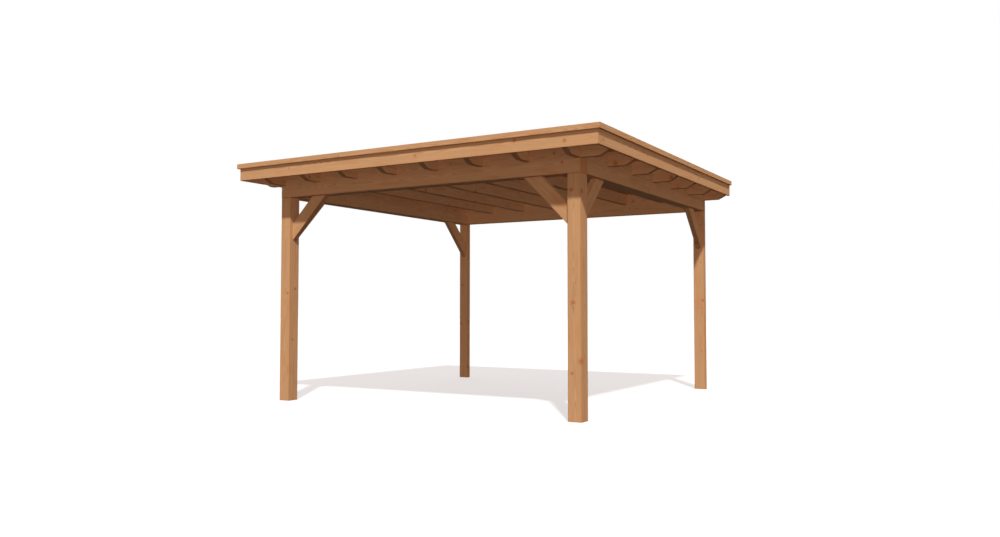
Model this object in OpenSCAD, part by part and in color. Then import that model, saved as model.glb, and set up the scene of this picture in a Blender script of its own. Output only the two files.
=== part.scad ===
/* [Overall] */
// Width of the frame over the outer faces of the posts
frame_w = 4030; // [3000:10:5200]
// Depth of the frame from the front faces of the front posts to the wall
frame_d = 4060; // [3000:10:5200]
// Clear height from the ground to the underside of the beams
clear_h = 2460; // [2100:10:2900]

/* [Posts] */
// Side of the square front posts, and width of the rear posts
post_w = 150; // [110:5:180]
// Depth of the rear posts, which stand against the wall
rear_post_d = 70; // [50:5:140]

/* [Beams] */
// Width of the front and side beams
beam_w = 150; // [110:5:180]
// Height of all four beams
beam_h = 150; // [120:5:240]
// Depth of the rear beam, which lies against the wall
rear_beam_d = 70; // [70:1:140]

/* [Knee braces] */
// Thickness of a brace
brace_t = 63; // [45:1:90]
// Height of a brace, square to its run
brace_h = 150; // [90:5:200]
// Reach of a brace's lower edge, down the post and along the beam
brace_reach = 520; // [400:10:700]

/* [Rafters] */
// Thickness of the rafters, their blocking and the side outriggers
rafter_t = 63; // [45:1:70]
// Height of the rafters
rafter_h = 150; // [120:5:160]

/* [Shaped ends] */
// Length of the shaped ends beyond the outer faces of the frame
end_l = 318; // [260:1:380]
// Distance from the frame at which the underside turns upwards
knee_x = 196; // [160:1:230]
// Angle at which the underside rises from there to the tip
knee_rise = 27; // [15:1:28]
// Radius of the turn
knee_r = 30; // [20:1:90]

/* [Roof edge] */
// Thickness of the fascia boards
fascia_t = 28; // [18:1:40]
// Height of the fascia boards
fascia_h = 200; // [185:5:260]
// Height of the fascia's lower edge above the underside of the rafters
fascia_lift = 45; // [35:1:60]
// Thickness of the cover strip along the fascia's upper edge
trim_t = 28; // [12:1:40]
// Height of the cover strip
trim_h = 57; // [30:1:90]

/* [Roof deck] */
// Thickness of the boarding on the rafters
deck_t = 20; // [16:1:28]
// Thickness of the roofing sheet
sheet_t = 2; // [1:0.5:4]
// Width of the kerb that the roofing sheet is turned up over
kerb_w = 45; // [28:1:70]

/* [Planed edges] */
// Chamfer along the edges of the posts and beams
beam_arris = 3; // [2:0.5:8]
// Chamfer along the edges of the braces, rafters and outriggers
rafter_arris = 2; // [1:0.5:5]
// Chamfer along the edges of the fascia and the cover strip
board_arris = 2; // [0.5:0.5:3]

/* [Hidden] */
rafter_count = 8;
outrigger_count = 7;

// Outer faces of the frame and of the roof edge, with the origin on the
// ground, under the middle of the roof
side_x = frame_w / 2;
roof_over = end_l + fascia_t + trim_t;
front_y = (roof_over - frame_d) / 2;
wall_y = front_y + frame_d;

// Levels
beam_z = clear_h + beam_h;
deck_z = beam_z + rafter_h;
sheet_z = deck_z + deck_t;
fascia_z = beam_z + fascia_lift;
edge_z = fascia_z + fascia_h;
kerb_h = edge_z - sheet_z - sheet_t;

// Even spacing of the rafters along X and of the outriggers along Y
rafter_pitch = (frame_w - rafter_t) / (rafter_count - 1);
outrigger_pitch = (frame_d - rafter_t) / (outrigger_count - 1);

// Inner edge of the roof, where the fascia boards stand
deck_x = side_x + end_l;
deck_y = front_y - end_l;

// Excess by which a cutting solid passes the faces that it cuts
cut = 1;

frame_colour = [0.72, 0.52, 0.34];
roof_colour = [0.76, 0.58, 0.40];
edge_colour = [0.80, 0.62, 0.43];
sheet_colour = [0.20, 0.20, 0.21];

// Cross-section w by h with a chamfer e on its four corners
function planed(w, h, e) = [
    [e, 0], [w - e, 0], [w, e], [w, h - e],
    [w - e, h], [e, h], [0, h - e], [0, e]
];

// Upright timber on a base w by d, from the origin's corner upwards
module upright(w, d, h, e) {
    linear_extrude(h) polygon(planed(w, d, e));
}

// Level timber along X, from the origin's corner
module along_x(l, w, h, e) {
    rotate([90, 0, 90]) linear_extrude(l) polygon(planed(w, h, e));
}

// Level timber along Y, from the origin's corner
module along_y(w, l, h, e) {
    translate([0, l, 0]) rotate([90, 0, 0]) linear_extrude(l) polygon(planed(w, h, e));
}

// Draws its children on the left, or mirrored on the right
module on_side(right) {
    mirror([right ? 1 : 0, 0, 0]) children();
}

module post_front(right) {
    color(frame_colour) on_side(right)
        translate([-side_x, front_y, 0]) upright(post_w, post_w, clear_h, beam_arris);
}

module post_rear(right) {
    color(frame_colour) on_side(right)
        translate([-side_x, wall_y - rear_post_d, 0])
            upright(post_w, rear_post_d, clear_h, beam_arris);
}

module beam_front() {
    color(frame_colour)
        translate([-side_x, front_y, clear_h]) along_x(frame_w, beam_w, beam_h, beam_arris);
}

module beam_rear() {
    color(frame_colour)
        translate([-side_x, wall_y - rear_beam_d, clear_h])
            along_x(frame_w, rear_beam_d, beam_h, beam_arris);
}

// A side beam is cut to length between the front and rear beams
module beam_side(right) {
    color(frame_colour) on_side(right)
        translate([-side_x, front_y + beam_w, clear_h])
            along_y(beam_w, frame_d - beam_w - rear_beam_d, beam_h, beam_arris);
}

// A brace at 45 degrees in the plane of X and Z, with its post on the left of
// the origin and its beam above it: the planed timber, cut along both faces
module brace() {
    run = brace_reach * sqrt(2);
    intersection() {
        translate([0, -brace_t / 2, -brace_reach]) rotate([0, -45, 0])
            translate([-cut, 0, 0]) along_x(run + 2 * cut, brace_t, brace_h, rafter_arris);
        translate([0, -brace_t / 2 - cut, -brace_reach - cut])
            cube([brace_reach + cut, brace_t + 2 * cut, brace_reach + cut]);
    }
}

// In the front plane a brace stands on the middle of the front post
module brace_front(right) {
    color(frame_colour) on_side(right)
        translate([-side_x + post_w, front_y + post_w / 2, clear_h]) brace();
}

module brace_side_front(right) {
    color(frame_colour) on_side(right)
        translate([-side_x + post_w / 2, front_y + post_w, clear_h]) rotate([0, 0, 90]) brace();
}

module brace_side_rear(right) {
    color(frame_colour) on_side(right)
        translate([-side_x + post_w / 2, wall_y - rear_post_d, clear_h])
            rotate([0, 0, -90]) brace();
}

// Underside of a shaped end as points of distance and height, from the frame
// outwards: flat, turning through an arc, and rising to the tip
function knee_line() =
    let (
        tangent = knee_r * tan(knee_rise / 2),
        steps = 8
    )
    concat(
        [for (i = [0 : steps])
            let (a = knee_rise * i / steps)
            [knee_x - tangent + knee_r * sin(a), knee_r * (1 - cos(a))]],
        [[end_l, (end_l - knee_x) * tan(knee_rise)]]
    );

// Side view of a timber that starts at `back` and has a shaped end at the
// other end, at end_l, with distances measured outwards from the frame's face
module shaped_view(back) {
    polygon(concat([[back, rafter_h], [back, 0]], knee_line(), [[end_l, rafter_h]]));
}

// A shaped timber along X from `back` to end_l: planed first, then cut
module shaped_timber(back) {
    intersection() {
        translate([back, 0, 0]) along_x(end_l - back, rafter_t, rafter_h, rafter_arris);
        translate([0, rafter_t + cut, 0]) rotate([90, 0, 0])
            linear_extrude(rafter_t + 2 * cut) shaped_view(back);
    }
}

// Rafter number i from the left runs from the wall over the front beam to its
// shaped end behind the fascia
module rafter(i) {
    color(roof_colour)
        translate([-side_x + i * rafter_pitch, front_y, beam_z])
            rotate([0, 0, -90]) shaped_timber(-frame_d);
}

// One block in each bay between two rafters
module blocks(y) {
    bay = rafter_pitch - rafter_t;
    color(roof_colour)
        for (i = [0 : rafter_count - 2])
            translate([-side_x + i * rafter_pitch + rafter_t, y, beam_z])
                cube([bay, rafter_t, rafter_h]);
}

module blocking_front() {
    blocks(front_y);
}

module blocking_rear() {
    blocks(wall_y - rear_beam_d);
}

// Short shaped timbers that stand out from the edge rafter to the side fascia
module outriggers(right) {
    color(roof_colour) on_side(right)
        for (i = [0 : outrigger_count - 1])
            translate([-side_x, front_y + rafter_t + i * outrigger_pitch, beam_z])
                rotate([0, 0, 180]) shaped_timber(0);
}

module roof_deck() {
    color(roof_colour)
        translate([-deck_x, deck_y, deck_z]) cube([2 * deck_x, wall_y - deck_y, deck_t]);
}

// The roofing sheet lies on the deck, turns up the kerb and covers its top
module roof_sheet() {
    inner = kerb_w + sheet_t;
    color(sheet_colour)
        difference() {
            translate([-deck_x, deck_y, sheet_z])
                cube([2 * deck_x, wall_y - deck_y, edge_z - sheet_z]);
            translate([-deck_x + inner, deck_y + inner, sheet_z + sheet_t])
                cube([2 * (deck_x - inner), wall_y - deck_y - 2 * inner, edge_z - sheet_z]);
            for (y = [deck_y - cut, wall_y - kerb_w])
                translate([-deck_x - cut, y, sheet_z - cut])
                    cube([2 * (deck_x + cut), kerb_w + cut, kerb_h + cut]);
            for (x = [-deck_x - cut, deck_x - kerb_w])
                translate([x, deck_y - cut, sheet_z - cut])
                    cube([kerb_w + cut, wall_y - deck_y + 2 * cut, kerb_h + cut]);
        }
}

module kerb_cross(y) {
    color(roof_colour)
        translate([-deck_x, y, sheet_z]) cube([2 * deck_x, kerb_w, kerb_h]);
}

module kerb_side(right) {
    color(roof_colour) on_side(right)
        translate([-deck_x, deck_y + kerb_w, sheet_z])
            cube([kerb_w, wall_y - deck_y - 2 * kerb_w, kerb_h]);
}

// Edge board of thickness t and height h along the front, at a distance d
// outside the roof's inner edge, mitred at both corners
module edge_front(d, t, h) {
    x = deck_x + d + t;
    y = deck_y - d - t;
    intersection() {
        translate([-x, y, 0]) along_x(2 * x, t, h, board_arris);
        linear_extrude(h) polygon([[-x, y], [x, y], [x - t, y + t], [t - x, y + t]]);
    }
}

// The same board along the left side, mitred in front and square at the wall
module edge_left(d, t, h) {
    x = deck_x + d + t;
    y = deck_y - d - t;
    intersection() {
        translate([-x, y, 0]) along_y(t, wall_y - y, h, board_arris);
        linear_extrude(h) polygon([[-x, y], [t - x, y + t], [t - x, wall_y], [-x, wall_y]]);
    }
}

module fascia_front() {
    color(edge_colour) translate([0, 0, fascia_z]) edge_front(0, fascia_t, fascia_h);
}

module fascia_side(right) {
    color(edge_colour) on_side(right)
        translate([0, 0, fascia_z]) edge_left(0, fascia_t, fascia_h);
}

module trim_front() {
    color(edge_colour) translate([0, 0, edge_z - trim_h]) edge_front(fascia_t, trim_t, trim_h);
}

module trim_side(right) {
    color(edge_colour) on_side(right)
        translate([0, 0, edge_z - trim_h]) edge_left(fascia_t, trim_t, trim_h);
}

post_front(false);  // post_front_left
post_front(true);  // post_front_right
post_rear(false);  // post_rear_left
post_rear(true);  // post_rear_right
beam_front();
beam_rear();
beam_side(false);  // beam_left
beam_side(true);  // beam_right
brace_front(false);  // brace_front_left
brace_front(true);  // brace_front_right
brace_side_front(false);  // brace_side_front_left
brace_side_front(true);  // brace_side_front_right
brace_side_rear(false);  // brace_side_rear_left
brace_side_rear(true);  // brace_side_rear_right
rafter(0);  // rafter_1
rafter(1);  // rafter_2
rafter(2);  // rafter_3
rafter(3);  // rafter_4
rafter(4);  // rafter_5
rafter(5);  // rafter_6
rafter(6);  // rafter_7
rafter(7);  // rafter_8
blocking_front();
blocking_rear();
outriggers(false);  // outriggers_left
outriggers(true);  // outriggers_right
roof_deck();
roof_sheet();
kerb_cross(deck_y);  // kerb_front
kerb_cross(wall_y - kerb_w);  // kerb_rear
kerb_side(false);  // kerb_left
kerb_side(true);  // kerb_right
fascia_front();
fascia_side(false);  // fascia_left
fascia_side(true);  // fascia_right
trim_front();
trim_side(false);  // trim_left
trim_side(true);  // trim_right
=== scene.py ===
"""Wooden patio cover: the timber finishes, roof boards, roofing sheet, screws and a plain studio.

Lengths are in metres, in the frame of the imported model: +Z is up, -Y is the open front,
+Y is the wall side, and the origin is on the ground under the middle of the roof.
"""

import logging
import zlib
from collections.abc import Mapping, Sequence
from dataclasses import dataclass, replace
from enum import Enum
from math import radians, sqrt, tan
from typing import Any

import bpy
import numpy as np
from mathutils import Euler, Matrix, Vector


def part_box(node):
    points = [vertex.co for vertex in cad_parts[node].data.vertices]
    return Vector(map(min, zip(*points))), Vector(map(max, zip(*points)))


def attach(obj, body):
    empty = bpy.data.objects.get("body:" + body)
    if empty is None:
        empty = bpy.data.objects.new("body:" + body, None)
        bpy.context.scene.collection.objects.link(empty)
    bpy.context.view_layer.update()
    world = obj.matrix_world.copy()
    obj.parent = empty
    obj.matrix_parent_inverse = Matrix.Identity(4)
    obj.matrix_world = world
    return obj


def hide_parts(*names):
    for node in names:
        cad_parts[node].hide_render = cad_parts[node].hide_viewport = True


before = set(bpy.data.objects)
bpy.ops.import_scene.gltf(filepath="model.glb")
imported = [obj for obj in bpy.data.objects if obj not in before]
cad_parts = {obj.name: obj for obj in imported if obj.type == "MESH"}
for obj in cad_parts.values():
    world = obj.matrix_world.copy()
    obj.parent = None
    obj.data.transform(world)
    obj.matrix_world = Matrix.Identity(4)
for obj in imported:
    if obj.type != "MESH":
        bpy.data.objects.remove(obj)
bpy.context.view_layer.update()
BODY = "root"
MM = 0.001
# How far the wood seems to run on past a face on which another timber lies flush
SEAM = 0.06
SIDES = ("left", "right")
BRACES = ("brace_front_left", "brace_front_right") + tuple(
    f"brace_side_{row}_{side}" for row in ("front", "rear") for side in SIDES
)
RAFTERS = tuple(f"rafter_{i}" for i in range(1, 9))

log = logging.getLogger("patio_cover")

Vec3 = tuple[float, float, float]
Colour = tuple[float, float, float]
Tree = bpy.types.NodeTree
Node = bpy.types.Node
Socket = bpy.types.NodeSocket
Material = bpy.types.Material
Thing = bpy.types.Object


def srgb(*levels: int) -> Colour:
    """A colour as linear light, by the standard curve of displays.

    Args:
        levels: Its red, green and blue on the display scale of 0 to 255.

    Returns:
        The linear colour.
    """
    shares = np.array(levels) / 255.0
    linear = np.where(shares <= 0.04045, shares / 12.92, ((shares + 0.055) / 1.055) ** 2.4)
    return tuple(float(x) for x in linear)


class Axis(Enum):
    """The directions along which timbers and rows of them lie."""

    X = (1.0, 0.0, 0.0)
    Y = (0.0, 1.0, 0.0)
    Z = (0.0, 0.0, 1.0)


class Slot(Enum):
    """Kinds of the pieces that are added and ride on the cover."""

    DECK = "deck_board"
    SHEET = "roofing_sheet"
    STEEL = "screw_steel"


class Lit(Enum):
    """Which pieces a lamp lights, among those that are named for it."""

    ONLY = "INCLUDE"
    ALL_BUT = "EXCLUDE"


class Heart(Enum):
    """Where the middle of the stem lay: a first half turn from a timber's up direction, the
    step to the next place like it, and the least and the greatest distance from its middle."""

    INSIDE = (0.25, 0.5, 0.004, 0.022)
    SIDE = (0.5, 1.0, 0.075, 0.130)
    BELOW = (0.0, 1.0, 0.075, 0.130)


class Waves:
    """Waves for each metre of the wood's patterns: twice across the grain, then along it. One
    number stands for all three, and two for the depth of the rings and along the grain."""

    BEND = (2.2, 2.2, 0.9)
    FIBRE = (620.0, 620.0, 9.0)
    STREAK = (55.0, 55.0, 1.3)
    CLOUD = (7.0, 7.0, 1.6)
    GLOW = (16.0, 16.0, 3.2)
    CHECK = (26.0, 26.0, 0.7)
    DRY = (5.0, 5.0, 0.9)
    RAGGED = 160.0
    UNEVEN = (22.0, 0.4)


class Rise:
    """Where a mark of the wood starts to show and where it is full, in its own measure."""

    KNOT = (0.85, 1.1)
    RIM = (0.05, 0.28)
    HALO = (0.7, 3.2)
    SPECK = (0.6, 1.3)
    LATE = (0.35, 0.9)
    LATE_END = (0.93, 1.0)
    GLOW = (0.52, 0.8)
    CHECK = (0.001, 0.008)
    DRY = (0.66, 0.7)
    END_GRAIN = (0.6, 0.8)


class Swing:
    """The least and the greatest value that a random share stands for."""

    FIBRE = (0.94, 1.06)
    STREAK = (0.9, 1.1)
    CLOUD = (0.93, 1.07)
    ROUGHNESS = (0.82, 0.94)
    SPECK_RADIUS = (1 * MM, 3.6 * MM)
    HEADING = (-0.2, 0.2)
    STEM_PLACE = (2.0, 40.0)
    TONE = (0.965, 1.035)
    ROW_TONE = (0.95, 1.04)


class Cover:
    """How strongly the colour of each mark covers the wood."""

    GLOW = 0.4
    HALO = 0.75
    KNOT = 0.34
    RIM = 0.24
    SPECK = 0.6
    END_GRAIN = 0.6
    CHECK = 0.8


# How far each mark stands out of the surface, as a share of the relief
RELIEF = {"late": 0.35, "fibre": 0.25, "knot": 0.5, "rim": -0.6, "check": -3.0}
# How much rougher each mark is than the wood round it
DULLNESS = {"late": -0.06, "knot": -0.12}


@dataclass(frozen=True)
class Field:
    """One value of a shader. Arithmetic on it adds the nodes that it needs."""

    g: "Graph"
    socket: Socket

    def math(self, operation: str, *others: "Field | float") -> "Field":
        """A Math node on this value and others."""
        inputs = dict(enumerate((self, *others)))
        return self.g.value("ShaderNodeMath", inputs, operation=operation)

    def __add__(self, other: "Field | float") -> "Field":
        """The sum."""
        return self.math("ADD", other)

    def __sub__(self, other: "Field | float") -> "Field":
        """The difference."""
        return self.math("SUBTRACT", other)

    def __mul__(self, other: "Field | float") -> "Field":
        """The product."""
        return self.math("MULTIPLY", other)

    def __truediv__(self, other: "Field | float") -> "Field":
        """The quotient."""
        return self.math("DIVIDE", other)

    def __abs__(self) -> "Field":
        """The size without its sign."""
        return self.math("ABSOLUTE")

    def least(self, other: "Field | float") -> "Field":
        """The smaller of two values."""
        return self.math("MINIMUM", other)

    def most(self, other: "Field | float") -> "Field":
        """The larger of two values."""
        return self.math("MAXIMUM", other)

    def inverted(self) -> "Field":
        """One minus the value."""
        return self.math("MULTIPLY_ADD", -1.0, 1.0)

    def ramp(self, low: float, high: float) -> "Field":
        """A smooth rise from 0 at low to 1 at high, held flat outside."""
        inputs = {"Value": self, "From Min": low, "From Max": high}
        return self.g.value("ShaderNodeMapRange", inputs, interpolation_type="SMOOTHSTEP")

    def between(self, low: float, high: float) -> "Field":
        """Carries 0 to low and 1 to high in a straight line."""
        return self.math("MULTIPLY_ADD", high - low, low)


def total(marks: Mapping[str, Field], weights: Mapping[str, float]) -> Field:
    """The sum of the marks that have a weight, each times its weight."""
    first, *others = [marks[name] * weight for name, weight in weights.items()]
    return sum(others, first)


@dataclass(frozen=True)
class Graph:
    """Adds nodes to one tree and hands back what they carry."""

    tree: Tree

    def feed(self, node: Node, inputs: Mapping[int | str, Any]) -> None:
        """Links fields to a node's inputs, and writes plain values on them.

        Args:
            node: The node.
            inputs: A field, a number, or the numbers of a vector or colour for each input.
        """
        for key, value in inputs.items():
            socket = node.inputs[key]
            if isinstance(value, Field):
                self.tree.links.new(value.socket, socket)
            elif isinstance(value, (int, float)):
                socket.default_value = value
            else:
                socket.default_value = (*value, 1.0)[:len(socket.default_value)]

    def add(self, kind: str, inputs: Mapping[int | str, Any], **settings: Any) -> Node:
        """Adds a node.

        Args:
            kind: Blender's name of the node type.
            inputs: What its inputs get.
            settings: Properties of the node.

        Returns:
            The node.
        """
        node = self.tree.nodes.new(kind)
        for name, value in settings.items():
            setattr(node, name, value)
        self.feed(node, inputs)
        return node

    def output(self, node: Node, key: int | str = 0) -> Field:
        """One of a node's outputs as a field."""
        return Field(self, node.outputs[key])

    def value(
        self, kind: str, inputs: Mapping[int | str, Any], key: int | str = 0, **settings: Any
    ) -> Field:
        """One output of a new node."""
        return self.output(self.add(kind, inputs, **settings), key)

    def coordinates(self, kind: str) -> Field:
        """One kind of texture coordinates."""
        return self.value("ShaderNodeTexCoord", {}, kind)

    def join(self, x: Any, y: Any, z: Any) -> Field:
        """A vector from three parts."""
        return self.value("ShaderNodeCombineXYZ", {0: x, 1: y, 2: z})

    def split(self, vector: Field) -> tuple[Field, Field, Field]:
        """The three parts of a vector."""
        node = self.add("ShaderNodeSeparateXYZ", {0: vector})
        return tuple(self.output(node, i) for i in range(3))

    def vector(self, operation: str, *values: Any, output: int = 0) -> Field:
        """A Vector Math node, whose output 0 is a vector and output 1 a number."""
        inputs = dict(enumerate(values))
        return self.value("ShaderNodeVectorMath", inputs, output, operation=operation)

    def dot(self, vector: Field, direction: Sequence[float]) -> Field:
        """The length of a vector along a fixed direction."""
        return self.vector("DOT_PRODUCT", vector, direction, output=1)

    def noise(
        self, place: Field, waves: float | Sequence[float], detail: float = 2.0,
        rough: float = 0.5, output: int = 0,
    ) -> Field:
        """Smooth noise from 0 to 1.

        Args:
            place: Where it is read.
            waves: Waves for each unit of place, or for each of its three directions.
            detail: Octaves above the first.
            rough: The share that each octave keeps.
            output: 0 for one number, 1 for three.

        Returns:
            The noise.
        """
        if not isinstance(waves, float):
            place = self.vector("MULTIPLY", place, waves)
            waves = 1.0
        sockets = {"Vector": place, "Scale": waves, "Detail": detail, "Roughness": rough}
        return self.value("ShaderNodeTexNoise", sockets, output)

    def cell(self, place: Field, stray: float, dimensions: str) -> tuple[Field, Field]:
        """The nearest of many scattered points, one in each unit cell.

        Args:
            place: Where it is looked for.
            stray: How far the points stray from a plain grid, from 0 to 1.
            dimensions: "2D" or "3D".

        Returns:
            The way to the place from that point, and three random shares for it.
        """
        sockets = {"Vector": place, "Scale": 1.0, "Randomness": stray}
        node = self.add("ShaderNodeTexVoronoi", sockets, voronoi_dimensions=dimensions)
        away = self.vector("SUBTRACT", place, self.output(node, "Position"))
        return away, self.output(node, "Color")

    def mix(self, share: Field | float, base: Any, other: Any, blend: str = "MIX") -> Field:
        """A share of another colour mixed or blended into a base colour."""
        colours = {0: share, 6: base, 7: other}
        return self.value("ShaderNodeMix", colours, 2, data_type="RGBA", blend_type=blend)

    def tinted(self, colour: Any, strength: Field) -> Field:
        """A colour made lighter or darker by a strength near 1."""
        return self.mix(1.0, colour, self.join(strength, strength, strength), "MULTIPLY")

    def bump(self, height: Field, relief: float) -> Field:
        """The normal of an uneven surface, whose height of 1 is a relief in metres."""
        inputs = {"Height": height, "Strength": 1.0, "Distance": relief}
        return self.value("ShaderNodeBump", inputs)


@dataclass(frozen=True)
class Wood:
    """An oiled softwood, as a solid pattern of yearly rings, branches and fibres.

    Attributes:
        early: Colour of the wide pale part of a ring.
        late: Colour of its narrow dark part.
        knot: Colour of a cut branch.
        halo: Colour of the resinous wood round it.
        edge: Colour that the oil leaves along the edges and on the end grain.
        ring: Width of a ring.
        uneven: How many rings' widths the rings stray.
        bend: How far the stem's middle strays.
        taper: How much the stem thins for each unit of length.
        branch_gap: Length between two whorls of branches.
        branch_arc: Angle between the branches of a whorl.
        branch_turn: How far a whorl is turned against the one below, in such angles.
        branch_stray: How far a branch strays from its place, from 0 to 1.
        branch_share: The share of the possible branches that are there.
        branch_full: Distance from the stem's middle where a branch has its full radius.
        branch_widening: Least and greatest share of that radius.
        ragged: How far a branch's outline strays, as a share of its radius.
        swell_fall: How fast the swelling of the rings falls away from a branch.
        halo_stray: How far the border of the halo strays, in radii of the branch.
        speck_gap: Distances between small resin specks, across and along the grain.
        speck_stray: How far a speck strays from its place, from 0 to 1.
        edge_width: Width of the darker band along the edges.
        edge_stray: How far its border strays.
        checks: How strongly drying checks show.
    """

    name: str
    early: Colour
    late: Colour
    knot: Colour
    halo: Colour
    edge: Colour
    ring: float = 4.2 * MM
    late_share: float = 0.47
    uneven: float = 2.4
    bend: float = 0.045
    taper: float = 0.006
    branch_gap: float = 0.58
    branch_arc: float = 1.3
    branch_turn: float = 0.618
    branch_stray: float = 0.35
    branch_share: float = 0.5
    branch_radius: tuple[float, float] = (6 * MM, 17 * MM)
    branch_full: float = 0.11
    branch_widening: tuple[float, float] = (0.3, 1.3)
    ragged: float = 0.3
    swell_fall: float = 0.4
    halo_stray: float = 1.2
    speck_gap: Vec3 = (0.045, 0.045, 0.12)
    speck_stray: float = 0.9
    edge_width: float = 15 * MM
    edge_share: float = 0.62
    edge_stray: float = 12 * MM
    checks: float = 0.0

    def group(self) -> Tree:
        """The wood as a node group, made once.

        Returns:
            A group that takes the place in the stem, the distance to the nearest edge, the
            share of end grain and a tone, and gives colour, roughness and height.
        """
        if self.name in bpy.data.node_groups:
            return bpy.data.node_groups[self.name]
        tree = bpy.data.node_groups.new(self.name, "ShaderNodeTree")
        for way, kind, names in (
            ("INPUT", "Vector", ["Place"]), ("INPUT", "Float", ["Edge", "End", "Tone"]),
            ("OUTPUT", "Color", ["Colour"]), ("OUTPUT", "Float", ["Roughness", "Height"]),
        ):
            for name in names:
                tree.interface.new_socket(name, in_out=way, socket_type=f"NodeSocket{kind}")
        g = Graph(tree)
        given = g.add("NodeGroupInput", {})
        place, edge, end, tone = (g.output(given, i) for i in range(4))
        marks = self.marks(g, place, end)
        result = g.add("NodeGroupOutput", {})
        g.feed(result, {
            "Colour": self.colour(g, marks, place, edge, end, tone),
            "Roughness": marks["fibre"].between(*Swing.ROUGHNESS) + total(marks, DULLNESS),
            "Height": total(marks, RELIEF),
        })
        return tree

    def branches(
        self, g: Graph, angle: Field, radius: Field, along: Field
    ) -> tuple[Field, Field, Field]:
        """Branches that grow straight out from the stem's middle, one at most in each cell.

        A cell spans an arc of angle and a gap of length, and each whorl of cells is turned
        against the one below. The distance to the branch in it is the root of the squared arc
        length and the squared length along the stem. A branch widens with the distance from
        the stem's middle.

        Args:
            g: The graph to add to.
            angle: Angle about the stem's middle.
            radius: Distance from the stem's middle.
            along: Length along the stem.

        Returns:
            Distance to the branch's middle, its radius, and whether it is there.
        """
        level = along / self.branch_gap
        whorl = (level + self.branch_stray).math("FLOOR")
        place = g.join(angle / self.branch_arc + whorl * self.branch_turn, level, 0.0)
        away, chance = g.cell(place, self.branch_stray, "2D")
        turn, length, _ = g.split(away)
        across = turn * self.branch_arc * radius
        lengthwise = length * self.branch_gap
        distance = (across * across + lengthwise * lengthwise).math("SQRT")
        first, second, _ = g.split(chance)
        least, greatest = self.branch_widening
        widening = (radius / self.branch_full).most(least).least(greatest)
        absent = 1.0 - self.branch_share
        there = first.ramp(absent, absent + 0.02)
        return distance, second.between(*self.branch_radius) * widening, there

    def marks(self, g: Graph, place: Field, end: Field) -> dict[str, Field]:
        """The strength of each mark of the wood.

        The rings count the distance from the stem's straying middle, made longer by a swelling
        round each branch that falls with the exponent of the squared distance. The late wood is
        the last part of each ring. A speck is the near surroundings of a scattered point. A
        check is where a slow noise along the grain passes through its middle value.

        Args:
            g: The graph to add to.
            place: The place in the stem.
            end: The share of end grain.

        Returns:
            The marks by name: shares from 0 to 1, and "reach", the distance to a branch in
            its own radii.
        """
        bend_u, bend_v, _ = g.split(g.noise(place, Waves.BEND, 1.0, output=1))
        u, v, along = g.split(place)
        u = u + (bend_u - 0.5) * self.bend
        v = v + (bend_v - 0.5) * self.bend
        radius = (u * u + v * v).math("SQRT")
        distance, size, there = self.branches(g, v.math("ARCTAN2", u), radius, along)
        reach = distance / size + (g.noise(place, Waves.RAGGED, 1.0) - 0.5) * self.ragged
        knot = reach.ramp(*Rise.KNOT).inverted() * there
        rim = abs(reach - 1.0).ramp(*Rise.RIM).inverted() * there
        swell = (reach * reach * -self.swell_fall).math("EXPONENT") * size * there

        cells = g.vector("DIVIDE", place, self.speck_gap)
        away, chance = g.cell(cells, self.speck_stray, "3D")
        far = g.vector("LENGTH", g.vector("MULTIPLY", away, self.speck_gap), output=1)
        speck_radius = g.split(chance)[0].between(*Swing.SPECK_RADIUS)
        speck = (far / speck_radius).ramp(*Rise.SPECK).inverted()

        depth = along * self.taper + radius + swell
        inwards, lengthwise = Waves.UNEVEN
        stray = g.noise(g.join(depth * inwards, along * lengthwise, 0.0), 1.0, 1.0)
        share = (depth / self.ring + stray * self.uneven).math("FRACT")
        late = share.ramp(*Rise.LATE) * share.ramp(*Rise.LATE_END).inverted()

        split = abs(g.noise(place, Waves.CHECK, 3.0, 0.6) - 0.5)
        dry = g.noise(place, Waves.DRY, 1.0).ramp(*Rise.DRY)
        check = split.ramp(*Rise.CHECK).inverted() * dry * (end.inverted() * self.checks)
        return {
            "late": late, "knot": knot, "rim": rim, "speck": speck, "check": check,
            "reach": reach, "there": there,
            "fibre": g.noise(place, Waves.FIBRE, 2.0, 0.6),
        }

    def colour(
        self, g: Graph, marks: Mapping[str, Field], place: Field, edge: Field, end: Field,
        tone: Field,
    ) -> Field:
        """The colour of the wood: each mark covers what lies below it.

        Args:
            g: The graph to add to.
            marks: The strength of each mark.
            place: The place in the stem.
            edge: Distance to the nearest edge.
            end: The share of end grain.
            tone: How light the whole timber is.

        Returns:
            The colour.
        """
        streak = g.noise(place, Waves.STREAK, 2.0, 0.55)
        cloud = g.noise(place, Waves.CLOUD)
        glow = g.noise(place, Waves.GLOW, 1.0)
        colour = g.mix(marks["late"] * self.late_share, self.early, self.late)
        colour = g.mix(glow.ramp(*Rise.GLOW) * Cover.GLOW, colour, self.edge)
        for noise, swing in (
            (marks["fibre"], Swing.FIBRE), (streak, Swing.STREAK), (cloud, Swing.CLOUD)
        ):
            tone = tone * noise.between(*swing)
        colour = g.tinted(colour, tone)
        halo = marks["reach"] + (cloud - 0.5) * self.halo_stray
        halo = halo.ramp(*Rise.HALO).inverted()
        worn = (edge + (glow - 0.5) * self.edge_stray).ramp(1 * MM, self.edge_width).inverted()
        for share, cover in (
            (halo * marks["there"] * Cover.HALO, self.halo),
            (marks["knot"] * Cover.KNOT, self.knot),
            (marks["rim"] * Cover.RIM, self.knot),
            (marks["speck"] * Cover.SPECK, self.knot),
            (worn * self.edge_share, self.edge),
            (end * Cover.END_GRAIN, self.edge),
            (marks["check"] * Cover.CHECK, self.knot),
        ):
            colour = g.mix(share, colour, cover)
        return colour


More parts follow.
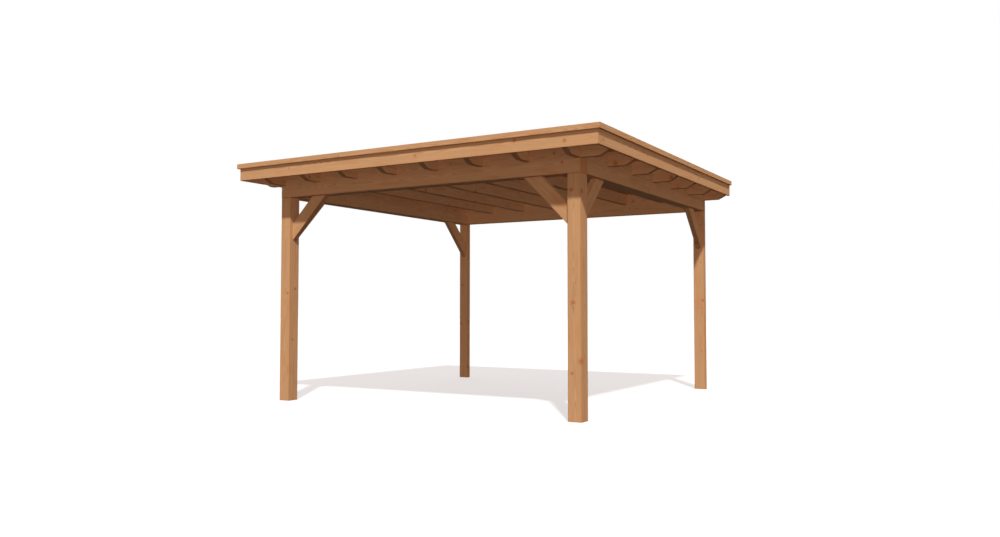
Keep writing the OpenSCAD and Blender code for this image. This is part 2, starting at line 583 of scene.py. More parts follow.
def tones(*colours: tuple[int, int, int]) -> list[Colour]:
    """The early wood, late wood, knot, halo and edge of a wood, as linear light."""
    return [srgb(*colour) for colour in colours]


@dataclass(frozen=True)
class Rubber:
    """A black rubber sheet with a thin film of dust.

    Attributes:
        rubber: Colour of the clean sheet.
        waves: Waves for each metre of the broad patches, of the puddles and of the grit.
        tide: Between which levels of the puddles' noise an edge of dust rises and falls.
        shares: How much dust lies in the patches, along those edges and as grit.
        roughness: Of the clean sheet and of the dust.
        relief: Height of its unevenness.
    """

    name: str
    rubber: Colour
    dust: Colour
    waves: Vec3 = (1.3, 0.9, 240.0)
    tide: Vec3 = (0.5, 0.62, 0.65)
    shares: Vec3 = (0.45, 0.14, 0.15)
    roughness: tuple[float, float] = (0.74, 0.95)
    relief: float = 0.4 * MM

    def material(self) -> Material:
        """The material: dust lies in broad patches and along the edges that puddles left.

        Returns:
            The material.
        """
        material, g, surface = new_material(self.name)
        place = g.coordinates("Object")
        broad, wet, fine = self.waves
        cloud = g.noise(place, broad, 4.0, 0.6)
        grit = g.noise(place, fine, 2.0, 0.6)
        puddle = g.noise(place, wet)
        start, full, stop = self.tide
        tide = puddle.ramp(start, full) * puddle.ramp(full, stop).inverted()
        in_patches, at_edges, as_grit = self.shares
        film = cloud.ramp(0.35, 0.75) * in_patches + tide * at_edges
        film = film + grit.ramp(0.55, 0.8) * as_grit
        g.feed(surface, {
            "Base Color": g.mix(film, self.rubber, self.dust),
            "Roughness": film.between(*self.roughness), "Specular IOR Level": 0.1,
            "Normal": g.bump(grit * 0.5 + cloud * 3.0, self.relief),
        })
        return material


@dataclass(frozen=True)
class Steel:
    """Stainless steel of small screws.

    Attributes:
        waves: Waves for each metre of its spots.
        tint: Least and greatest strength of its colour.
        roughness: The same of its roughness.
        relief: Height of its unevenness.
    """

    name: str
    colour: Colour
    waves: float = 900.0
    tint: tuple[float, float] = (0.85, 1.1)
    roughness: tuple[float, float] = (0.28, 0.48)
    relief: float = 0.05 * MM

    def material(self) -> Material:
        """The material: faintly brushed, with duller spots.

        Returns:
            The material.
        """
        material, g, surface = new_material(self.name)
        spots = g.noise(g.coordinates("Object"), self.waves, 2.0, 0.6)
        g.feed(surface, {
            "Base Color": g.tinted(self.colour, spots.between(*self.tint)),
            "Roughness": spots.between(*self.roughness), "Metallic": 1.0,
            "Normal": g.bump(spots, self.relief),
        })
        return material


def new_material(name: str) -> tuple[Material, Graph, Node]:
    """An empty material with a surface shader.

    Args:
        name: The name of the material.

    Returns:
        The material, the graph of its nodes and its surface shader.
    """
    material = bpy.data.materials.new(name)
    material.use_nodes = True
    return material, Graph(material.node_tree), material.node_tree.nodes["Principled BSDF"]


FRAME_WOOD = Wood(
    "frame_wood",
    *tones((202, 158, 114), (174, 124, 81), (140, 84, 44), (187, 122, 66), (184, 124, 73)),
    branch_radius=(9 * MM, 22 * MM),
    checks=1.0,
)
BEAM_WOOD = replace(
    FRAME_WOOD, name="beam_wood", branch_share=0.4, branch_radius=(5 * MM, 12 * MM), checks=0.6
)
ROOF_WOOD = replace(
    FRAME_WOOD, name="roof_wood", ring=3.6 * MM, branch_radius=(5 * MM, 15 * MM),
    edge_width=11 * MM, edge_share=0.3, checks=0.0,
)
EDGE_WOOD = Wood(
    "edge_wood",
    *tones((204, 160, 116), (176, 126, 83), (144, 88, 47), (190, 126, 70), (187, 128, 77)),
    ring=3.9 * MM,
    branch_radius=(5 * MM, 14 * MM),
    edge_width=9 * MM,
)
DECK_WOOD = Wood(
    "deck_wood",
    *tones((208, 162, 116), (184, 131, 84), (148, 92, 50), (194, 132, 76), (194, 134, 82)),
    ring=3.2 * MM,
    branch_radius=(4 * MM, 12 * MM),
    edge_width=7 * MM,
)
ROOF_RUBBER = Rubber("roof_rubber", rubber=srgb(44, 45, 47), dust=srgb(104, 101, 95))
SCREW_STEEL = Steel("screw_steel", colour=srgb(158, 148, 134))


@dataclass(frozen=True)
class Repeat:
    """A row of like solids that one material dresses, each as a timber of its own.

    Attributes:
        axis: The direction of the row.
        start: Where the first solid's stretch begins.
        pitch: Length of one stretch.
        shift: How far two neighbours at most differ in their place in the stem, twice across
            the grain, and how far they do along it.
    """

    axis: Axis
    start: float
    pitch: float
    shift: Vec3 = (0.06, 0.05, 3.7)


@dataclass(frozen=True)
class ShapedEnd:
    """The rising underside of a timber's end.

    Attributes:
        outwards: Direction from the frame to the tip.
        knee: Where the underside turns upwards, along that direction.
        slope: Rise for each unit of length from there.
    """

    outwards: Vec3
    knee: float
    slope: float


@dataclass(frozen=True)
class Timber:
    """One timber, or a row of like ones, as the finish sees it.

    Attributes:
        name: The name of its node or piece, and of its material.
        up: A direction across the grain, square to it.
        size: Its length, height and thickness, where its box doesn't give them.
        shine: How strongly it mirrors.
        relief: Height of its unevenness.
    """

    name: str
    wood: Wood
    low: Vector
    high: Vector
    grain: Vec3 = Axis.X.value
    up: Vec3 = Axis.Z.value
    heart: Heart = Heart.SIDE
    repeat: Repeat | None = None
    shaped: ShapedEnd | None = None
    size: Vec3 | None = None
    shine: float = 0.04
    relief: float = 0.22 * MM

    def random(self) -> np.random.Generator:
        """Random numbers that are always the same for a timber of this name."""
        return np.random.default_rng(zlib.crc32(self.name.encode()))

    def ways(self) -> tuple[Vector, Vector, Vector]:
        """The directions along the grain, up and to the side."""
        grain, up = Vector(self.grain), Vector(self.up)
        return grain, up, grain.cross(up)

    def half_sizes(self) -> list[float]:
        """Half the timber's size along each of its directions.

        Returns:
            The three halves.
        """
        if self.size:
            return [reach / 2 for reach in self.size]
        span = self.high - self.low
        return [sum(abs(way[i]) * span[i] for i in range(3)) / 2 for way in self.ways()]

    def edge(self, g: Graph, place: Field, parts: Sequence[Field]) -> Field:
        """The distance to the nearest edge.

        It is the middle one of the three distances to the timber's faces, because on a face
        the smallest is zero.

        Args:
            g: The graph to add to.
            place: The place in the frame of the first timber of its row.
            parts: The offset from the timber's middle along each of its directions.

        Returns:
            The distance.
        """
        half = self.half_sizes()
        faces = [(abs(part) * -1.0) + reach for part, reach in zip(parts, half)]
        if self.shaped:
            out = g.dot(place, self.shaped.outwards) - self.shaped.knee
            floor = (out * self.shaped.slope).most(0.0)
            faces[1] = (parts[1] + half[1] - floor).least((parts[1] * -1.0) + half[1])
        first, second, third = faces
        return first.least(second).most(first.most(second).least(third))

    def material(self) -> Material:
        """The wood laid through this timber, with its own place in the stem.

        The place in the stem is the offset from the timber's middle, measured along the grain
        and along two directions across it, moved by the distance to the stem's middle.

        Returns:
            The material.
        """
        material, g, surface = new_material(self.name)
        place = g.coordinates("Object")
        if self.repeat:
            axis = Vector(self.repeat.axis.value)
            steps = (g.dot(place, axis) - self.repeat.start) / self.repeat.pitch
            number = steps.math("FLOOR")
            inputs = {0: axis, "Scale": number * self.repeat.pitch}
            shift = g.value("ShaderNodeVectorMath", inputs, operation="SCALE")
            place = g.vector("SUBTRACT", place, shift)
        grain, up, side = self.ways()
        offset = g.vector("SUBTRACT", place, (self.low + self.high) / 2)
        parts = [g.dot(offset, way) for way in (grain, up, side)]

        draw = self.random()
        first_way, step, nearest, farthest = self.heart.value
        heading = (first_way + step * draw.integers(4)) * np.pi
        heading += draw.uniform(*Swing.HEADING)
        pith = float(draw.uniform(nearest, farthest))
        stem = float(draw.uniform(*Swing.STEM_PLACE))
        tone = float(draw.uniform(*Swing.TONE))
        cosine, sine = float(np.cos(heading)), float(np.sin(heading))
        across = g.dot(offset, up * cosine + side * sine) + pith
        depth = g.dot(offset, side * cosine - up * sine)
        along = parts[0] + stem
        if self.repeat:
            inputs = {"W": number}
            chance = g.value("ShaderNodeTexWhiteNoise", inputs, "Color", noise_dimensions="1D")
            first, second, third = g.split(chance)
            across = across + first * self.repeat.shift[0]
            depth = depth + second * self.repeat.shift[1]
            along = along + number * self.repeat.shift[2]
            tone = third.between(*Swing.ROW_TONE)
        facing = abs(g.dot(g.coordinates("Normal"), grain))
        wood = g.add("ShaderNodeGroup", {}, node_tree=self.wood.group())
        g.feed(wood, {
            "Place": g.join(across, depth, along), "Edge": self.edge(g, place, parts),
            "End": facing.ramp(*Rise.END_GRAIN), "Tone": tone,
        })
        g.feed(surface, {
            "Base Color": g.output(wood, "Colour"), "Roughness": g.output(wood, "Roughness"),
            "Specular IOR Level": self.shine,
            "Normal": g.bump(g.output(wood, "Height"), self.relief),
        })
        return material


def dress(timber: Timber) -> None:
    """Gives the node of a timber's name its finish.

    Args:
        timber: The timber.
    """
    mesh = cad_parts[timber.name].data
    material = timber.material()
    if not mesh.materials:
        mesh.materials.append(material)
    for index in range(len(mesh.materials)):
        mesh.materials[index] = material
    log.info("dressed %s with %s", timber.name, timber.wood.name)


def box_timber(
    node: str, wood: Wood, grain: Axis, above: float = 0.0, below: float = 0.0, **more: Any
) -> Timber:
    """The timber that fills a node's box.

    Args:
        node: The node's name.
        wood: Its wood.
        grain: Direction of its grain.
        above: How far the wood seems to run on upwards, where another timber lies flush.
        below: The same, downwards.
        more: Further fields of the timber.

    Returns:
        The timber.
    """
    low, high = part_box(node)
    low = low - Vector((0.0, 0.0, below))
    high = high + Vector((0.0, 0.0, above))
    up = Axis.X if grain is Axis.Z else Axis.Z
    return Timber(node, wood, low, high, grain.value, up.value, **more)


def dress_all(nodes: Sequence[str], wood: Wood, grain: Axis, **more: Any) -> None:
    """Lays a wood through each of some nodes.

    Args:
        nodes: The names of the nodes.
        wood: Their wood.
        grain: Direction of their grain.
        more: Further settings of box_timber.
    """
    for node in nodes:
        dress(box_timber(node, wood, grain, **more))


def box_span(node: str) -> Vector:
    """The size of a node's box along X, Y and Z."""
    low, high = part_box(node)
    return high - low


def add_object(name: str, data: Any) -> Thing:
    """Puts a new object into the scene.

    Args:
        name: Its name.
        data: Its mesh, lamp or camera.

    Returns:
        The object.
    """
    thing = bpy.data.objects.new(name, data)
    bpy.context.scene.collection.objects.link(thing)
    return thing


def add_mesh(
    name: str, points: np.ndarray, faces: Sequence[Sequence[int]],
    material: Material, slot: Slot | None = None,
) -> Thing:
    """A new object with a mesh of one material.

    Args:
        name: The object's name.
        points: Its vertices, three numbers each.
        faces: The vertices of each face, in order about its outward side.
        material: The material for all of its faces.
        slot: Given for a piece that rides on the cover, which is then attached to the cover's
            body.

    Returns:
        The object.
    """
    mesh = bpy.data.meshes.new(name)
    mesh.from_pydata(points.reshape(-1, 3).tolist(), [], faces)
    mesh.validate()
    mesh.materials.append(material)
    piece = add_object(name, mesh)
    if slot:
        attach(piece, BODY)
    log.info("made %s with %d faces", name, len(mesh.polygons))
    return piece


def grid_faces(rows: int, columns: int, closed: bool = False) -> np.ndarray:
    """The quads of a grid of points that is numbered row by row.

    Args:
        rows: Number of rows of points.
        columns: Number of points in a row.
        closed: Whether the last point of a row meets the first.

    Returns:
        One row of four point numbers for each quad.
    """
    row = np.arange(rows - 1)[:, None] * columns
    column = np.arange(columns if closed else columns - 1)[None, :]
    after = (column + 1) % columns
    near, far = row + column, row + after
    return np.stack([near, far, far + columns, near + columns], -1).reshape(-1, 4)


@dataclass
class GroundFrame:
    """Posts, the ring of beams and the knee braces.

    Attributes:
        beam_wood: The wood of the beams and braces.
        brace_height: Height of a brace, square to its length.
    """

    post_wood: Wood = FRAME_WOOD
    beam_wood: Wood = BEAM_WOOD
    brace_height: float = 0.150

    def dress(self) -> None:
        """Lays the wood through every timber of the frame.

        The beams' upper edges are hidden by what lies flush on them, so they get no dark band.
        """
        posts = [f"post_{row}_{side}" for row in ("front", "rear") for side in SIDES]
        dress_all(posts, self.post_wood, Axis.Z, heart=Heart.INSIDE)
        beam = {"above": SEAM, "heart": Heart.INSIDE}
        dress_all(("beam_front", "beam_rear"), self.beam_wood, Axis.X, **beam)
        dress_all(("beam_left", "beam_right"), self.beam_wood, Axis.Y, **beam)
        for name in BRACES:
            dress(self.brace(name))

    def brace(self, name: str) -> Timber:
        """A brace, whose grain runs up at 45 degrees from its post to its beam.

        The middle of its box lies on its outer face, and the middle of the brace half its
        height further in.

        Args:
            name: The node's name.

        Returns:
            The timber.
        """
        low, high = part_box(name)
        reach, drop = away_from_post(name)
        grain = (reach - drop).normalized()
        up = (-reach - drop).normalized()
        middle = (low + high) / 2 + up * self.brace_height / 2
        thickness = min(high.x - low.x, high.y - low.y)
        length = (high.z - low.z) * sqrt(2)
        size = (length * 2, self.brace_height, thickness)
        return Timber(name, self.beam_wood, middle, middle, tuple(grain), tuple(up), size=size)


def away_from_post(name: str) -> tuple[Vector, Vector]:
    """The level direction from a brace's post to its beam end, and the way down.

    Args:
        name: The brace's node.

    Returns:
        The two unit vectors.
    """
    low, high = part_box(name)
    if high.x - low.x > high.y - low.y:
        level = Vector((-1.0 if low.x + high.x > 0 else 1.0, 0.0, 0.0))
    else:
        level = Vector((0.0, 1.0 if "front" in name else -1.0, 0.0))
    return level, Vector((0.0, 0.0, -1.0))


@dataclass
class RoofTimbers:
    """Rafters, blocking and outriggers, with the shaped ends that show under the roof edge.

    Attributes:
        outrigger_count: How many outriggers each side has.
        knee: How far outside the posts the underside of a shaped end turns upwards.
        rise: The angle at which it rises from there.
    """

    wood: Wood = ROOF_WOOD
    outrigger_count: int = 7
    knee: float = 0.196
    rise: float = radians(27)

    def dress(self) -> None:
        """Lays the wood through every timber of the roof."""
        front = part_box("post_front_left")[0].y
        end = ShapedEnd((0.0, -1.0, 0.0), self.knee - front, tan(self.rise))
        dress_all((RAFTERS[0], RAFTERS[-1]), self.wood, Axis.Y, below=SEAM, shaped=end)
        dress_all(RAFTERS[1:-1], self.wood, Axis.Y, shaped=end)
        for name in ("blocking_front", "blocking_rear"):
            dress(self.blocks(name))
        for side in SIDES:
            dress(self.row(f"outriggers_{side}"))

    def blocks(self, name: str) -> Timber:
        """One block in each bay between rafters, as a row along X.

        Args:
            name: The node's name.

        Returns:
            The timber.
        """
        low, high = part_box(name)
        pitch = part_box("rafter_2")[0].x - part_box("rafter_1")[0].x
        thickness = box_span("rafter_1").x
        seam = Vector((0.0, 0.0, SEAM))
        one = Vector((low.x + pitch - thickness, high.y, high.z))
        row = Repeat(Axis.X, low.x - thickness / 2, pitch)
        return Timber(name, self.wood, low - seam, one + seam, repeat=row)

    def row(self, name: str) -> Timber:
        """The outriggers of one side, as a row along Y.

        Args:
            name: The node's name.

        Returns:
            The timber.
        """
        low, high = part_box(name)
        thickness = box_span("rafter_1").x
        pitch = (high.y - low.y - thickness) / (self.outrigger_count - 1)
        side = 1.0 if low.x > 0 else -1.0
        frame_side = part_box("post_front_right")[1].x
        end = ShapedEnd((side, 0.0, 0.0), frame_side + self.knee, tan(self.rise))
        one = Vector((high.x, low.y + thickness, high.z))
        row = Repeat(Axis.Y, low.y - thickness, pitch)
        return Timber(name, self.wood, low, one, repeat=row, shaped=end)


@dataclass
class RoofDeck:
    """Tongued and grooved boards across the rafters, and the kerbs on them.

    Attributes:
        cover: The width that each board is meant to cover.
        joint: Open gap between two boards.
        chamfer: Chamfer along the lower edges, which makes a V at each joint.
        tongue: How far the tongue stands out.
    """

    wood: Wood = DECK_WOOD
    cover: float = 0.121
    joint: float = 0.8 * MM
    chamfer: float = 4 * MM
    tongue: float = 5 * MM

    def profile(self, width: float, thickness: float) -> np.ndarray:
        """Cross-section of a board, counter-clockwise from its lower left.

        The lower edges are chamfered. A tongue stands out of one side at mid height, a third of
        the board thick, and a groove of the same form is cut into the other.

        Args:
            width: Width that the board covers, with its joint.
            thickness: Thickness of the board.

        Returns:
            One row of width and height for each corner.
        """
        left, right = self.joint / 2, width - self.joint / 2
        low, high = thickness / 3, 2 * thickness / 3
        slope = low / 10
        tip = right + self.tongue
        root = left + self.tongue + self.joint
        return np.array([
            (left + self.chamfer, 0.0), (right - self.chamfer, 0.0), (right, self.chamfer),
            (right, low), (tip, low + slope), (tip, high - slope), (right, high),
            (right, thickness), (left, thickness), (left, high + self.joint), (root, high),
            (root, low), (left, low - self.joint), (left, self.chamfer),
        ])

    def build(self) -> Thing:
        """Carries the board's cross-section along X, once for each board from front to wall.

        The last board has lost its tongue, because the wall stands there.

        Returns:
            The boards, which stand for the deck's node.
        """
        low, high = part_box("roof_deck")
        count = round((high.y - low.y) / self.cover)
        width = (high.y - low.y) / count
        outline = self.profile(width, high.z - low.z)
        corners = len(outline)
        across = low.y + width * np.arange(count)[:, None] + outline[:, 0]
        points = np.empty((count, 2, corners, 3))
        points[..., 0] = np.array([low.x, high.x])[:, None]
        points[..., 1] = np.clip(across, low.y, high.y)[:, None]
        points[..., 2] = low.z + outline[:, 1]
        first = (2 * corners * np.arange(count))[:, None]
        sides = (grid_faces(2, corners, closed=True) + first[..., None]).reshape(-1, 4)
        near = np.arange(corners)[::-1] + first
        far = np.arange(corners) + corners + first
        timber = Timber(
            "deck_boards", self.wood, low, Vector((high.x, low.y + width, high.z)),
            heart=Heart.BELOW, repeat=Repeat(Axis.Y, low.y, width),
        )
        faces = sides.tolist() + near.tolist() + far.tolist()
        piece = add_mesh("deck_boards", points, faces, timber.material(), Slot.DECK)
        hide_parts("roof_deck")
        return piece

    def dress(self) -> None:
        """Lays the wood through the kerbs."""
        dress_all(("kerb_front", "kerb_rear"), self.wood, Axis.X)
        dress_all(("kerb_left", "kerb_right"), self.wood, Axis.Y)


@dataclass
class RoofSheet:
    """The rubber sheet: flat on the deck, turned up the kerbs and over them.

    Attributes:
        kerb: Width of the kerb.
        drawn: Thickness that it is given, a little less than its own, to clear the deck.
        brow: Radius of its bend over the kerb.
        fold: Radius of its bend at the kerb's foot.
        bend_steps: Points round each bend.
        field_steps: Points across the flat part.
        swell: Height of its slight waves.
        waves: For each of the two waves, its turn for each unit of X and of Y, and its start.
        calm: Distance from the kerbs within which the waves fade.
    """

    finish: Rubber = ROOF_RUBBER
    kerb: float = 0.045
    thickness: float = 2 * MM
    drawn: float = 1.8 * MM
    brow: float = 4 * MM
    fold: float = 12 * MM
    bend_steps: int = 6
    field_steps: int = 120
    swell: float = 1.6 * MM
    waves: tuple[Vec3, Vec3] = ((2.1, 1.3, 0.0), (-1.7, 1.1, 0.6))
    calm: float = 0.25

    def section(self, start: float, stop: float, floor: float, top: float) -> np.ndarray:
        """Path of the sheet across the roof, from one outer edge to the other.

        It runs level over the kerb, turns down through a quarter circle, falls, turns level
        through another, and crosses the deck. The second half mirrors the first.

        Args:
            start: The first outer edge.
            stop: The other outer edge.
            floor: Height of the sheet's face on the deck.
            top: Height of its face on the kerb.

        Returns:
            One row of distance and height for each point.
        """
        turn = np.linspace(0.0, np.pi / 2, self.bend_steps)
        face = self.kerb + self.thickness
        sine, cosine = 1 - np.sin(turn), 1 - np.cos(turn)
        over = np.column_stack([face - self.brow * sine, top - self.brow * cosine])
        foot = np.column_stack([face + self.fold * cosine, floor + self.fold * sine])
        half = np.vstack([[0.0, top], over, foot])
        width = stop - start
        end = half[-1, 0]
        inner = np.linspace(end, width - end, self.field_steps)[1:-1]
        middle = np.column_stack([inner, np.full(len(inner), floor)])
        other = half[::-1] * [-1.0, 1.0] + [width, 0.0]
        return np.vstack([half, middle, other]) + [start, 0.0]

    def build(self) -> Thing:
        """Lays the section along both axes as one surface of two parameters.

        A point's X comes from the path across, its Y from the path along, and its height is
        the higher of the two paths' heights. The product of two slow sines lifts the flat part
        and fades towards the kerbs with the square of the distance.

        Returns:
            The sheet, which stands for the sheet's node.
        """
        low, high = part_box("roof_sheet")
        floor = low.z + self.thickness
        across = self.section(low.x, high.x, floor, high.z)
        along = self.section(low.y, high.y, floor, high.z)
        x, y = np.meshgrid(across[:, 0], along[:, 0])
        height = np.maximum(across[None, :, 1], along[:, None, 1])
        rim = np.minimum.reduce([x - low.x, high.x - x, y - low.y, high.y - y])
        share = np.clip((rim - self.kerb - self.fold) / self.calm, 0.0, 1.0)
        first, second = (np.sin(a * x + b * y + start) for a, b, start in self.waves)
        height = height + self.swell * (1 + first * second) / 2 * share * share
        points = np.stack([x, y, height], -1)
        faces = grid_faces(*x.shape).tolist()
        piece = add_mesh("rubber_sheet", points, faces, self.finish.material(), Slot.SHEET)
        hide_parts("roof_sheet")
        solid = piece.modifiers.new("thickness", "SOLIDIFY")
        solid.thickness = self.drawn
        solid.offset = -1.0
        piece.data.shade_smooth()
        return piece


@dataclass
class RoofEdge:
    """Fascia boards and the cover strips on them, of one wood."""

    wood: Wood = EDGE_WOOD

    def dress(self) -> None:
        """Lays the wood through the boards, along their length."""
        for board in ("fascia", "trim"):
            dress_all((f"{board}_front",), self.wood, Axis.X)
            dress_all((f"{board}_left", f"{board}_right"), self.wood, Axis.Y)


@dataclass
class Screws:
    """Raised-head screws that hold the fascia and the braces.

    Attributes:
        rise: Height of a head.
        dome: Shares of the radius and of the rise, from the rim upwards.
        segments: Points round a head.
        drive: Middle radius of the star recess.
        lobe: How far its lobes stand out.
        recess: Shares of the star's size and of the rise, from its rim to its floor.
        fascia_levels: Heights of the screws above the fascia's lower edge.
        brace_setback: Distances of the screws from a brace's ends, along its lower face.
    """

    finish: Steel = SCREW_STEEL
    radius: float = 4.2 * MM
    rise: float = 0.9 * MM
    dome: tuple[tuple[float, float], ...] = ((1.0, 0.0), (1.0, 0.35), (0.85, 0.8), (0.65, 1.0))
    segments: int = 24
    drive: float = 1.7 * MM
    lobe: float = 0.4 * MM
    lobes: int = 6
    recess: tuple[tuple[float, float], ...] = ((1.0, 1.05), (0.9, 0.3))
    fascia_levels: tuple[float, float] = (0.045, 0.095)
    brace_setback: tuple[float, float] = (0.045, 0.105)

    def head(self) -> np.ndarray:
        """One head, as rings of points about its axis, in its own frame.

        The rings follow a low dome, and then the recess, whose radius swings with the cosine
        of the angle times the number of lobes.

        Returns:
            The points as rings by segments by three.
        """
        angle = np.linspace(0.0, 2 * np.pi, self.segments, endpoint=False)
        star = self.drive + self.lobe * np.cos(self.lobes * angle)
        circle = np.full(self.segments, self.radius)
        dome, recess = np.array(self.dome), np.array(self.recess)
        radii = np.vstack([dome[:, :1] * circle, recess[:, :1] * star])
        levels = np.concatenate([dome[:, 1], recess[:, 1]]) * self.rise
        heights = np.broadcast_to(levels[:, None], radii.shape)
        return np.stack([radii * np.cos(angle), radii * np.sin(angle), heights], -1)

    def place(self, spots: np.ndarray, outward: np.ndarray) -> tuple[np.ndarray, list[list[int]]]:
        """Sets a head at each spot, facing outward.

        Each point is the spot plus the head's own coordinates times two directions across and
        the outward direction.

        Args:
            spots: One row for each head.
            outward: The unit direction that each head faces.

        Returns:
            The points and the faces of all the heads.
        """
        head = self.head()
        upright = np.abs(outward[:, 2:]) > 0.9
        first = np.cross(np.where(upright, Axis.X.value, Axis.Z.value), outward)
        first /= np.linalg.norm(first, axis=1, keepdims=True)
        basis = np.stack([first, np.cross(outward, first), outward], 1)
        points = np.einsum("rsk,nkd->nrsd", head, basis) + spots[:, None, None, :]
        rings = len(head)
        start = (rings * self.segments * np.arange(len(spots)))[:, None]
        quads = grid_faces(rings, self.segments, closed=True)
        sides = (quads + start[..., None]).reshape(-1, 4)
        bottom = np.arange(self.segments) + (rings - 1) * self.segments + start
        back = np.arange(self.segments)[::-1] + start
        return points, sides.tolist() + bottom.tolist() + back.tolist()

    def fascia_spots(self) -> tuple[np.ndarray, np.ndarray]:
        """Two screws into each shaped end, through the fascia.

        Returns:
            The spots and their outward directions.
        """
        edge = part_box("fascia_front")[0]
        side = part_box("fascia_right")[1].x
        low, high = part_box("outriggers_right")
        half = box_span("rafter_1").x / 2
        xs = [(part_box(name)[0].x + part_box(name)[1].x) / 2 for name in RAFTERS]
        ys = np.linspace(low.y + half, high.y - half, RoofTimbers.outrigger_count)
        levels = edge.z + np.array(self.fascia_levels)
        fronts = [(x, edge.y, z) for z in levels for x in xs]
        rights = [(side, y, z) for z in levels for y in ys]
        lefts = [(-side, y, z) for z in levels for y in ys]
        ways = [(0.0, -1.0, 0.0)] * len(fronts)
        ways += [(1.0, 0.0, 0.0)] * len(rights) + [(-1.0, 0.0, 0.0)] * len(lefts)
        return np.array(fronts + rights + lefts), np.array(ways)

    def brace_spots(self) -> tuple[np.ndarray, np.ndarray]:
        """Two screws near each end of each brace, in its lower face.

        Returns:
            The spots and their outward directions.
        """
        spots, ways = [], []
        for name in BRACES:
            low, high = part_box(name)
            level, down = away_from_post(name)
            middle = (low + high) / 2
            half = (level - down) * (high.z - low.z) / 2
            run = half.normalized()
            outward = (level + down).normalized()
            for back in self.brace_setback:
                spots += [middle - half + run * back, middle + half - run * back]
                ways += [outward, outward]
        return np.array([tuple(s) for s in spots]), np.array([tuple(w) for w in ways])

    def build(self) -> None:
        """Makes the screws of the fascia and of the braces."""
        for name, where in (
            ("fascia_screws", self.fascia_spots()), ("brace_screws", self.brace_spots()),
        ):
            add_mesh(name, *self.place(*where), self.finish.material(), Slot.STEEL)


# Colour of the light from the sky and from the soft lamps
WARMTH: Colour = (1.0, 0.80, 0.74)
WHITE: Colour = (1.0, 1.0, 1.0)
# Direction from the cover to the soft lamps before it
FRONT_WAY: Vec3 = (0.85, -1.0, 0.45)


@dataclass(frozen=True)
class Lamp:
    """A distant lamp.

    Attributes:
        way: Direction from the cover to the lamp.
        level: Light on a white face turned to it, where 1 shows white.
        width: The angle that it fills.
        lit: Whether it lights only the recessed pieces or all the others, if it chooses. Such
            a lamp casts no shadow, so that it also lights what is under the roof.
        recessed: The names of the pieces that lie deepest under the roof.
    """

    name: str
    way: Vec3
    level: float
    width: float
    colour: Colour = WARMTH
    lit: Lit | None = None
    recessed: tuple[str, ...] = ("rafter_1", "deck_boards")

    def build(self) -> None:
        """Puts the lamp into the scene. A level of 1 is an energy of pi."""
        light = bpy.data.lights.new(self.name, "SUN")
        light.energy = self.level * float(np.pi)
        light.angle = self.width
        light.color = self.colour
        lamp = add_object(self.name, light)
        lamp.rotation_euler = Vector(self.way).to_track_quat("Z", "Y").to_euler()
        if self.lit:
            light.use_shadow = False
            light.cycles.use_multiple_importance_sampling = False
            group = bpy.data.collections.new(f"{self.name}_pieces")
            for piece in self.recessed:
                group.objects.link(bpy.data.objects[piece])
            lamp.light_linking.receiver_collection = group
            for entry in group.collection_objects:
                entry.light_linking.link_state = self.lit.value


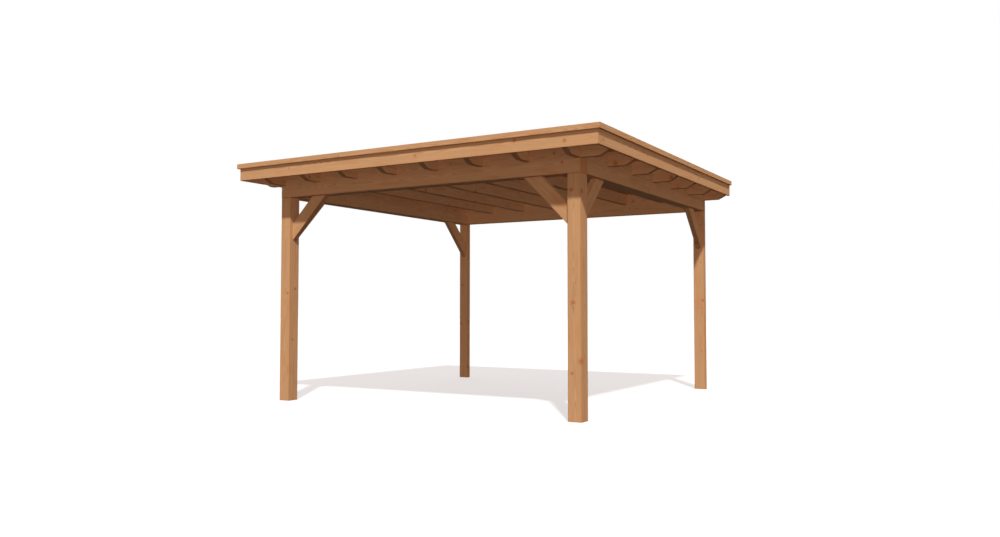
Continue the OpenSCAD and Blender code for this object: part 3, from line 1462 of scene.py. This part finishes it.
@dataclass
class Studio:
    """Floor, light and camera.

    Attributes:
        eye: The camera's place.
        yaw: How far it is turned left of the wall's direction.
        focal_px: Focal length in pixels of a picture that is picture_px wide.
        sensor: Width of the sensor in millimetres.
        sky: Light from above, in the measure of the lamps.
        ground: Light from below.
        between: Heights between which the one turns into the other.
        horizon: Light of a band along the horizon.
        horizon_fall: How fast it fades upwards and downwards.
        horizon_turn: How much stronger it is on one side and weaker on the other.
        horizon_way: Direction to the stronger side.
        floor_white: How much light the floor throws back.
        floor_glow: Light of its own, which keeps the shadow pale.
    """

    eye: Vec3 = (5.6223, -9.5424, 1.130)
    yaw: float = radians(30.49)
    pitch: float = radians(2.55)
    roll: float = radians(0.02)
    focal_px: float = 861.6
    picture_px: float = 1000.0
    sensor: float = 36.0
    lamps: tuple[Lamp, ...] = (
        Lamp("sun", (0.497, -0.769, 1.0), 1.0, radians(2.5), WHITE),
        Lamp("back", (-0.7, 0.75, 0.45), 0.46, radians(60)),
        Lamp("front", FRONT_WAY, 0.255, radians(25), lit=Lit.ALL_BUT),
        Lamp("recess", FRONT_WAY, 0.22, radians(25), lit=Lit.ONLY),
    )
    warmth: Colour = WARMTH
    sky: float = 0.25
    ground: float = 0.032
    between: tuple[float, float] = (-0.1, 0.6)
    horizon: float = 0.40
    horizon_fall: float = 5.0
    horizon_turn: float = 0.8
    horizon_way: Vec3 = (0.6, -1.0, 0.0)
    floor_half: float = 60.0
    floor_white: float = 0.43
    floor_glow: float = 0.6

    def build(self) -> None:
        """Makes the floor, the lamps, the sky and the camera."""
        self.floor()
        for lamp in self.lamps:
            lamp.build()
        self.world()
        self.camera()
        bpy.context.scene.view_settings.view_transform = "Standard"

    def seen(self, g: Graph) -> Field:
        """Whether a ray shows the background: straight, mirrored or passed on.

        Args:
            g: The graph to add to.

        Returns:
            1 for such a ray, else 0.
        """
        kinds = ("Is Camera Ray", "Is Glossy Ray", "Is Transmission Ray")
        first, second, third = (g.value("ShaderNodeLightPath", {}, kind) for kind in kinds)
        return first.most(second).most(third)

    def floor(self) -> None:
        """A plain pale floor that keeps the cover's shadow and throws no light back at it.

        Only the rays that show it find it, and only for them does it glow.
        """
        corners = np.array([(-1, -1, 0), (1, -1, 0), (1, 1, 0), (-1, 1, 0)]) * self.floor_half
        material, g, surface = new_material("floor")
        g.feed(surface, {
            "Base Color": [self.floor_white] * 3, "Roughness": 1.0, "Specular IOR Level": 0.0,
            "Emission Color": WHITE, "Emission Strength": self.seen(g) * self.floor_glow,
        })
        floor = add_mesh("floor", corners, [(0, 1, 2, 3)], material)
        floor.visible_shadow = False
        floor.visible_diffuse = False

    def world(self) -> None:
        """A sky that shows white and lights softly, with a brighter band along the horizon.

        The band's light is one minus the height's size, raised to a power, and it swings with
        the direction round the cover. Below it, the light goes from the ground's to the sky's.
        """
        world = bpy.data.worlds.new("sky")
        world.use_nodes = True
        bpy.context.scene.world = world
        g = Graph(world.node_tree)
        way = g.coordinates("Generated")
        height = g.split(way)[2]
        band = abs(height).inverted().math("POWER", self.horizon_fall) * self.horizon
        swing = g.dot(way, Vector(self.horizon_way).normalized()) * self.horizon_turn + 1.0
        wide = height.ramp(*self.between).between(self.ground, self.sky)
        light = g.tinted(self.warmth, band * swing + wide)
        background = world.node_tree.nodes["Background"]
        g.feed(background, {"Color": g.mix(self.seen(g), light, WHITE), "Strength": 1.0})

    def camera(self) -> None:
        """The camera at the photo's place and angle."""
        data = bpy.data.cameras.new("camera")
        data.sensor_fit = "HORIZONTAL"
        data.sensor_width = self.sensor
        data.lens = self.focal_px / self.picture_px * self.sensor
        data.clip_end = 4 * self.floor_half
        camera = add_object("camera", data)
        camera.location = self.eye
        turn = Euler((radians(90) + self.pitch, 0.0, self.yaw)).to_matrix()
        camera.rotation_euler = (turn @ Euler((0.0, 0.0, self.roll)).to_matrix()).to_euler()
        bpy.context.scene.camera = camera


def main() -> None:
    """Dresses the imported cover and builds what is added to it, in order."""
    logging.basicConfig(level=logging.INFO, format="%(name)s: %(message)s")
    GroundFrame().dress()
    RoofTimbers().dress()
    deck = RoofDeck()
    deck.dress()
    deck.build()
    RoofSheet().build()
    RoofEdge().dress()
    Screws().build()
    Studio().build()


if __name__ == "__main__":
    main()
